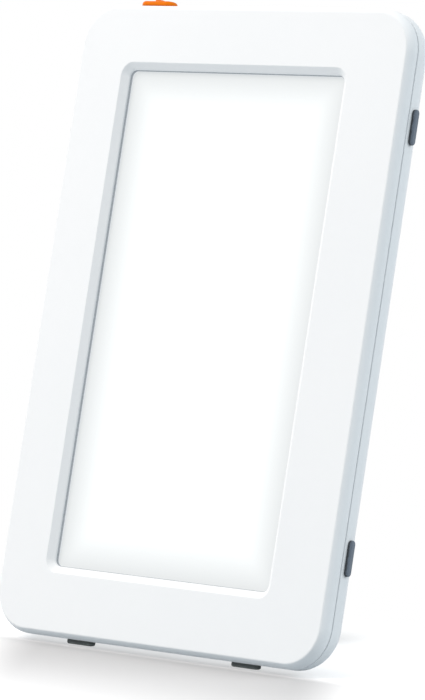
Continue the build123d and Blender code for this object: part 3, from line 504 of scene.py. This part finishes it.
# ---------------------------------------------------------------- grip ribs
HUB_STEP = 0.0046                                       # from the swivel's place to the hub's rear face
HUB_RIB_COUNT = 15
HUB_RIB_CIRCLE = 0.0385
HUB_RIB_REACH = radians(42)                             # the ribs reach this far up and down from level
HUB_RIB_SIZE = (0.0062, 0.0015, 0.0012)                 # half of each rib's height is sunk
# The folded leg lies along the lamp, so the open leg's angle from upright is its whole swing less the lean.
LEG_SPLAY = radians(joints["stand_fold"]["range_deg"][1]) - LEAN
LEG_OUTER = 0.0023                                      # from the hinge's axis to the leg's outer face
PAD_RIB_COUNT = 4
PAD_RIB_START = 0.0022                                  # from the tip of the leg
PAD_RIB_STEP = 0.0014
PAD_RIB_SIZE = (0.0250, 0.0008, 0.0006)


class Ribs(Nodes):
    """A node tree that sets rounded ribs in a row or an arc, with named inputs for their sizes."""

    def __init__(self, name, material):
        super().__init__(bpy.data.node_groups.new(name, "GeometryNodeTree"))
        for title, kind in (
            ("Count", "NodeSocketInt"),
            ("First Place", "NodeSocketVector"),
            ("Step", "NodeSocketVector"),
            ("First Turn", "NodeSocketFloat"),
            ("Turn", "NodeSocketFloat"),
            ("Rib Size", "NodeSocketVector"),
        ):
            self.tree.interface.new_socket(title, in_out="INPUT", socket_type=kind)
        self.tree.interface.new_socket("Geometry", in_out="OUTPUT", socket_type="NodeSocketGeometry")
        sizes = self.add("NodeGroupInput").outputs
        index = self.add("GeometryNodeInputIndex").outputs["Index"]
        turned = self.math("MULTIPLY_ADD", index, sizes["Turn"], sizes["First Turn"])
        start = {"Vector": sizes["First Place"], "Angle": turned}
        swung = self.add("ShaderNodeVectorRotate", start, rotation_type="Z_AXIS").outputs["Vector"]
        steps = {"Vector": sizes["Step"], "Scale": index}
        stepped = self.add("ShaderNodeVectorMath", steps, operation="SCALE").outputs["Vector"]
        place = self.add("ShaderNodeVectorMath", {0: swung, 1: stepped}, operation="ADD").outputs["Vector"]
        points = self.add("GeometryNodePoints", {"Count": sizes["Count"], "Position": place})
        ball = self.add("GeometryNodeMeshUVSphere", {"Segments": 12, "Rings": 8, "Radius": 0.5})
        facing = self.add("ShaderNodeCombineXYZ", {"Z": turned})
        row = self.add("GeometryNodeInstanceOnPoints", {
            "Points": points.outputs["Points"],
            "Instance": ball.outputs["Mesh"],
            "Rotation": facing.outputs["Vector"],
            "Scale": sizes["Rib Size"],
        })
        real = self.add("GeometryNodeRealizeInstances", {"Geometry": row.outputs["Instances"]})
        smooth = self.add("GeometryNodeSetShadeSmooth", {"Geometry": real.outputs["Geometry"]})
        covering = {"Geometry": smooth.outputs["Geometry"], "Material": material}
        finished = self.add("GeometryNodeSetMaterial", covering)
        self.add("NodeGroupOutput", {"Geometry": finished.outputs["Geometry"]})

    def mesh(self, name, place, **sizes):
        """The ribs as a plain mesh, moved from their own plane to their place on the lamp."""
        carrier = new_object(name, bpy.data.meshes.new(name))
        maker = carrier.modifiers.new("ribs", "NODES")
        maker.node_group = self.tree
        for socket in self.tree.interface.items_tree:
            if socket.in_out == "INPUT":
                maker[socket.identifier] = sizes[socket.name.lower().replace(" ", "_")]
        evaluated = carrier.evaluated_get(bpy.context.evaluated_depsgraph_get())
        mesh = bpy.data.meshes.new_from_object(evaluated)
        bpy.data.objects.remove(carrier)
        mesh.name = name
        mesh.transform(place)
        return mesh


def plane(place, side, up):
    """Turns a plane's own x, y and z into the lamp's, from a place on it and two directions along it."""
    turn = Matrix((side, up, side.cross(up))).transposed().to_4x4()
    return Matrix.Translation(place) @ turn


def add_ribs(mesh, body):
    """Ribs that lie on top of a piece, on its body."""
    piece = new_object(mesh.name, mesh)
    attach(piece, body)


def finger_ribs():
    """Two arcs of ribs on the hub, by which it is turned."""
    ribs = Ribs("finger_ribs", finishes["stand_white"])
    middle = Vector(joints["stand_swivel"]["pos_m"]) - OUT * HUB_STEP
    for name, side, up in (("finger_ribs_left", -ACROSS, UP), ("finger_ribs_right", ACROSS, -UP)):
        mesh = ribs.mesh(
            name,
            plane(middle, side, up),
            count=HUB_RIB_COUNT,
            first_place=(HUB_RIB_CIRCLE, 0, 0),
            step=(0, 0, 0),
            first_turn=-HUB_RIB_REACH,
            turn=2 * HUB_RIB_REACH / (HUB_RIB_COUNT - 1),
            rib_size=HUB_RIB_SIZE,
        )
        add_ribs(mesh, "stand_hub")


def pad_ribs():
    """Ribs across the outer face of the leg's rubber pad."""
    ribs = Ribs("pad_ribs", finishes["pad_rubber"])
    hinge = Vector(joints["stand_fold"]["pos_m"])
    down = Vector((0, sin(LEG_SPLAY), -cos(LEG_SPLAY)))
    outwards = Vector((0, cos(LEG_SPLAY), sin(LEG_SPLAY)))
    hinge_middle = Vector((FACE_MIDDLE.x, hinge.y, hinge.z))
    tip = hinge_middle + down * hinge.z / cos(LEG_SPLAY) + outwards * LEG_OUTER
    mesh = ribs.mesh(
        "pad_ribs",
        plane(tip, -ACROSS, -down),
        count=PAD_RIB_COUNT,
        first_place=(0, PAD_RIB_START, 0),
        step=(0, PAD_RIB_STEP, 0),
        first_turn=0.0,
        turn=0.0,
        rib_size=PAD_RIB_SIZE,
    )
    add_ribs(mesh, "stand_leg")


finger_ribs()
pad_ribs()


# ---------------------------------------------------------------- floor
FLOOR_HALF_SIZE = 6.0
FLOOR_SEEN = (0.59, 0.59, 0.595)                        # as the camera sees it
FLOOR_BOUNCE = (0.42, 0.465, 0.50)                      # as it lights the lamp
# A glow that only the camera and reflections see lifts the floor's shade, and less so near the feet: this paints a
# shadow pool there, over the real shadow.
SHADE_MIDDLE = -0.016                                   # the painted shadow strip of floor just in front of the feet
SHADE_HALF_WIDTH = 0.0486
SHADE_FRONT = -0.040
SHADE_TURN = radians(35)                                # its ends are turned this far
SHADE_ENDS = 4.3                                        # past its ends, distances count this much more
UNDER_LAMP = 14.0                                       # and under the lamp, this much more
LIFT_REACH = (-0.010, 0.140)                            # distances from it between which the lift grows
LIFT_LEVELS = (0.592, 0.75)                             # its full level near the lamp and further away
LEVEL_REACH = (0.05, 0.15)                              # distances between which that level grows
LEG_HALF_WIDTH = 0.015                                  # a second strip of painted shade lies under the tip of the open leg
LEG_LINE = 0.036
LEG_REACH = (0.002, 0.026)                              # distances from it between which its painted shade fades
LEG_LIFT = 0.35                                         # the share of the lift that is left at the tip
BEHIND_LAMP = 4.0                                       # behind the lamp it turns white this much sooner
WHITE_REACH = (0.15, 0.50)                              # distances between which it turns plain white


def strip_distance(finish, middle, half_width, line, behind=1.0, at_ends=1.0, turn=0.0):
    """The distance over the floor from a strip along x, whose ends are turned.

    It is taken times a factor behind the strip, and times another past its ends.
    """
    values = {0: finish.place, 1: (cos(turn), sin(turn), 0.0)}
    along = finish.add("ShaderNodeVectorMath", values, operation="DOT_PRODUCT")
    aside = finish.math("ABSOLUTE", finish.math("SUBTRACT", along.outputs["Value"], middle))
    over_end = finish.math("MAXIMUM", finish.math("SUBTRACT", aside, half_width), 0.0)
    place = finish.add("ShaderNodeSeparateXYZ", {"Vector": finish.place})
    past = finish.math("SUBTRACT", place.outputs["Y"], line)
    away = finish.add("ShaderNodeCombineXYZ", {
        "X": finish.math("MULTIPLY", over_end, at_ends),
        "Y": finish.math("MAXIMUM", past, finish.math("MULTIPLY", past, behind)),
    })
    distance = finish.add("ShaderNodeVectorMath", {0: away.outputs["Vector"]}, operation="LENGTH")
    return distance.outputs["Value"]


def floor_white():
    """A pale floor whose real shadow is deepened by painted shade at the feet and under the leg's tip, and which
    is white to the camera further away.
    """
    finish = Finish("floor_white", 0.9)
    rays = finish.add("ShaderNodeLightPath").outputs
    seen = finish.math("MAXIMUM", rays["Is Camera Ray"], rays["Is Glossy Ray"])
    from_feet = strip_distance(
        finish,
        SHADE_MIDDLE,
        SHADE_HALF_WIDTH,
        SHADE_FRONT,
        behind=UNDER_LAMP,
        at_ends=SHADE_ENDS,
        turn=SHADE_TURN,
    )
    from_leg = strip_distance(finish, 0.0, LEG_HALF_WIDTH, LEG_LINE)
    from_lamp = strip_distance(finish, 0.0, SHADE_HALF_WIDTH, SHADE_FRONT, behind=BEHIND_LAMP)
    level = finish.span(from_lamp, LEVEL_REACH, LIFT_LEVELS)
    at_feet = finish.math("MULTIPLY", finish.span(from_feet, LIFT_REACH), level)
    lift = finish.math("MULTIPLY", at_feet, finish.span(from_leg, LEG_REACH, (LEG_LIFT, 1.0)))
    finish.shade({
        "Base Color": finish.blend(seen, FLOOR_BOUNCE, FLOOR_SEEN),
        "Specular IOR Level": 0.0,
        "Emission Color": WHITE,
        "Emission Strength": finish.math("MULTIPLY", seen, lift),
    })
    far = finish.math("MULTIPLY", seen, finish.span(from_lamp, WHITE_REACH))
    white = finish.add("ShaderNodeEmission", {"Color": WHITE, "Strength": 1.0})
    surface = finish.mix_shaders(far, finish.shader.outputs["BSDF"], white.outputs["Emission"])
    finish.feed(finish.output, {"Surface": surface})
    return finish.material


def make_floor():
    """A large square floor."""
    half = FLOOR_HALF_SIZE
    corners = [(-half, -half, 0.0), (half, -half, 0.0), (half, half, 0.0), (-half, half, 0.0)]
    mesh = bpy.data.meshes.new("floor")
    mesh.from_pydata(corners, [], [(0, 1, 2, 3)])
    mesh.materials.append(floor_white())
    floor = new_object("floor", mesh)


# ---------------------------------------------------------------- world and lights
WORLD_LEVEL = 0.56
WORLD_COLOUR = (0.89, 0.96, 1.0)
LAMP_MIDDLE = Vector((0, 0, 0.11))
LIGHT_DISTANCE = 2.4                                    # from the middle of the lamp
KEY_DIRECTION = (-0.40, -0.62, 0.74)
KEY_SIZE = 1.4
KEY_LEVEL = 0.765
KEY_COLOUR = (1.0, 0.915, 0.86)
SIDE_DIRECTION = (0.90, 0.45, 0.40)
SIDE_SIZE = 1.2
SIDE_LEVEL = 0.32
SIDE_COLOUR = (0.93, 0.97, 1.0)


def make_world():
    """Even light from all round. The camera, reflections and clear pieces see it as plain white."""
    world = bpy.data.worlds.new("studio")
    world.use_nodes = True
    nodes = Nodes(world.node_tree)
    light = nodes.add("ShaderNodeBackground", {"Color": WORLD_COLOUR, "Strength": WORLD_LEVEL})
    white = nodes.add("ShaderNodeBackground", {"Color": WHITE, "Strength": 1.0})
    rays = nodes.add("ShaderNodeLightPath").outputs
    seen = nodes.math("MAXIMUM", rays["Is Camera Ray"], rays["Is Glossy Ray"])
    seen = nodes.math("MAXIMUM", seen, rays["Is Transmission Ray"])
    surface = nodes.mix_shaders(seen, light.outputs["Background"], white.outputs["Background"])
    nodes.add("ShaderNodeOutputWorld", {"Surface": surface})
    bpy.context.scene.world = world


def make_light(name, towards, size, level, colour):
    """A soft box in a direction from the lamp, whose light on a surface that faces it comes to level."""
    data = bpy.data.lights.new(name, "AREA")
    data.shape = "SQUARE"
    data.size = size
    data.energy = level * pi * pi * LIGHT_DISTANCE ** 2
    data.color = colour
    light = new_object(name, data)
    direction = Vector(towards).normalized()
    light.location = LAMP_MIDDLE + direction * LIGHT_DISTANCE
    light.rotation_euler = direction.to_track_quat("Z", "Y").to_euler()
    light.visible_glossy = False


make_floor()
make_world()
make_light("key_light", KEY_DIRECTION, KEY_SIZE, KEY_LEVEL, KEY_COLOUR)
make_light("side_light", SIDE_DIRECTION, SIDE_SIZE, SIDE_LEVEL, SIDE_COLOUR)

bpy.context.scene.view_settings.view_transform = "Standard"
